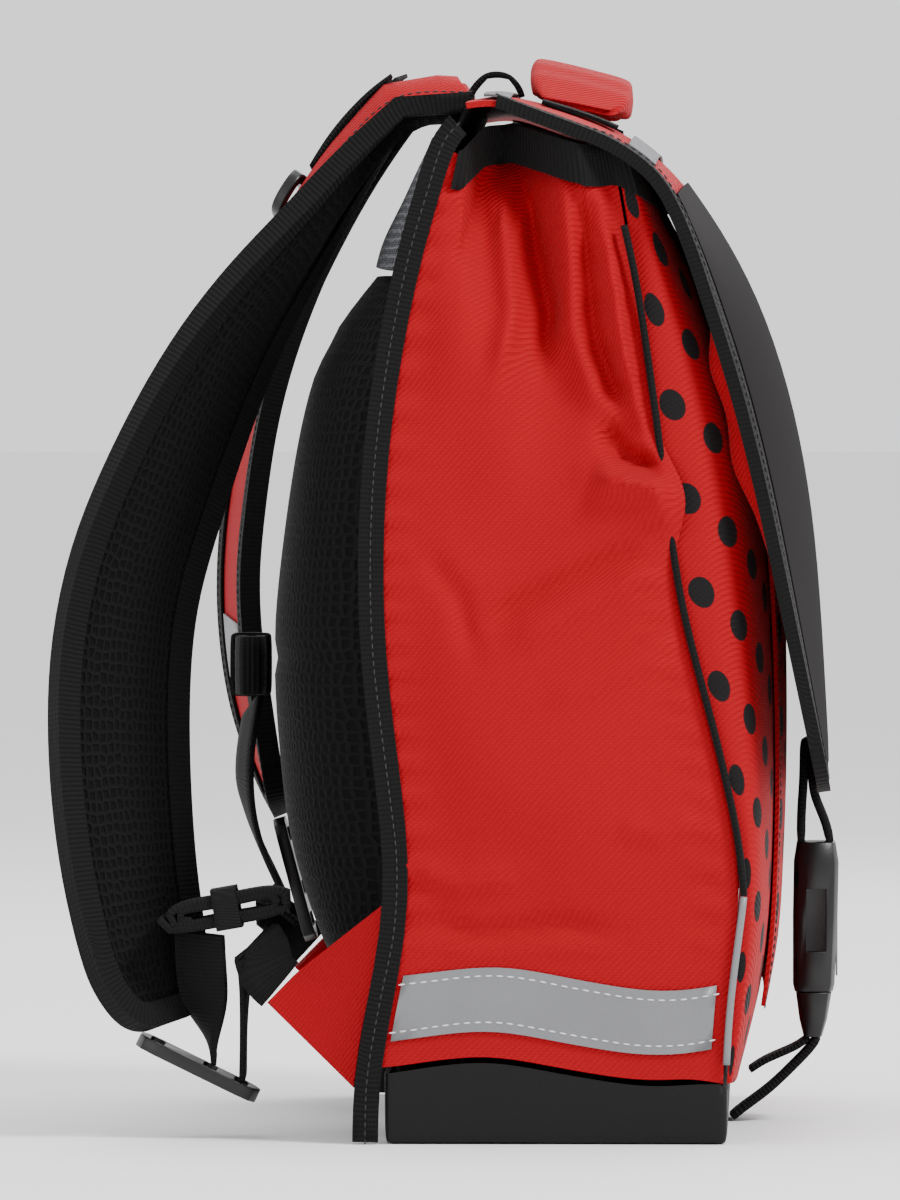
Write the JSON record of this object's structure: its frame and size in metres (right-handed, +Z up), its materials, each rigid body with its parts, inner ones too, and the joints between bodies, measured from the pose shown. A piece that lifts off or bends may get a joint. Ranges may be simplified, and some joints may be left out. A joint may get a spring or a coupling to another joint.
{
  "type": "school satchel backpack",
  "caption": "Upright school satchel worn on the back: red twill box with a front flap, side-release buckle, padded shoulder straps, back pads and a coated base tray.",
  "frame": {"origin": "on the floor under the middle of the base tray", "axes": "+Z up, -Y to the flap and buckle at the front, +Y to the back pads and straps, -X to the wearer's left"},
  "size_m": [0.337, 0.3136, 0.4277],
  "materials": {
    "red_twill": "coarse woven twill, matte",
    "black_tape": "ribbed edging tape, matte",
    "black_webbing": "woven webbing, matte",
    "black_mesh": "spacer mesh over foam, matte",
    "grey_mesh": "open mesh over foam, matte",
    "coated_black": "coated cloth, satin",
    "reflective": "reflective tape, soft sheen",
    "dark_film": "clear coated film, glossy",
    "grey_ribbon": "ribbed ribbon, satin",
    "black_plastic": "moulded, fine satin"
  },
  "bodies": {
    "root": {"base_tub": "coated_black", "front_panel": "red_twill", "front_pocket": "red_twill", "back_panel": "black_mesh", "rim_binding": "black_tape", "back_yoke": "grey_mesh", "flap": "red_twill", "flap_cover": "dark_film", "flap_binding": "black_tape", "flap_tape_rear": "grey_ribbon", "flap_tape_front": "grey_ribbon", "handle": "red_twill", "haul_loop": "black_webbing", "buckle_body": "black_plastic", "buckle_tongue": "black_plastic", "buckle_reflector": "reflective", "buckle_webbing_upper": "black_webbing", "buckle_webbing_lower": "black_webbing", "buckle_webbing_tail": "black_webbing", "side_panel_left": "red_twill", "side_panel_right": "red_twill", "back_binding_left": "black_tape", "back_binding_right": "black_tape", "piping_left": "black_tape", "piping_right": "black_tape", "reflective_piping_left": "reflective", "reflective_piping_right": "reflective", "reflective_strip_left": "reflective", "reflective_strip_right": "reflective", "back_pad_left": "black_mesh", "back_pad_right": "black_mesh", "corner_tab_left": "red_twill", "corner_tab_right": "red_twill", "handle_anchor_left": "black_webbing", "handle_anchor_right": "black_webbing", "strap_pad_left": "black_mesh", "strap_pad_right": "black_mesh", "strap_cover_left": "red_twill", "strap_cover_right": "red_twill", "strap_binding_left": "black_tape", "strap_binding_right": "black_tape", "strap_reflector_left": "reflective", "strap_reflector_right": "reflective", "strap_tab_left": "black_webbing", "strap_tab_right": "black_webbing", "strap_ring_left": "black_plastic", "strap_ring_right": "black_plastic", "ladder_lock_left": "black_plastic", "ladder_lock_right": "black_plastic", "lower_webbing_left": "black_webbing", "lower_webbing_right": "black_webbing", "webbing_bundle_left": "black_webbing", "webbing_bundle_right": "black_webbing", "keeper_band_left": "black_webbing", "keeper_band_right": "black_webbing", "webbing_tail_left": "black_webbing", "webbing_tail_right": "black_webbing"}
  },
  "joints": []
}
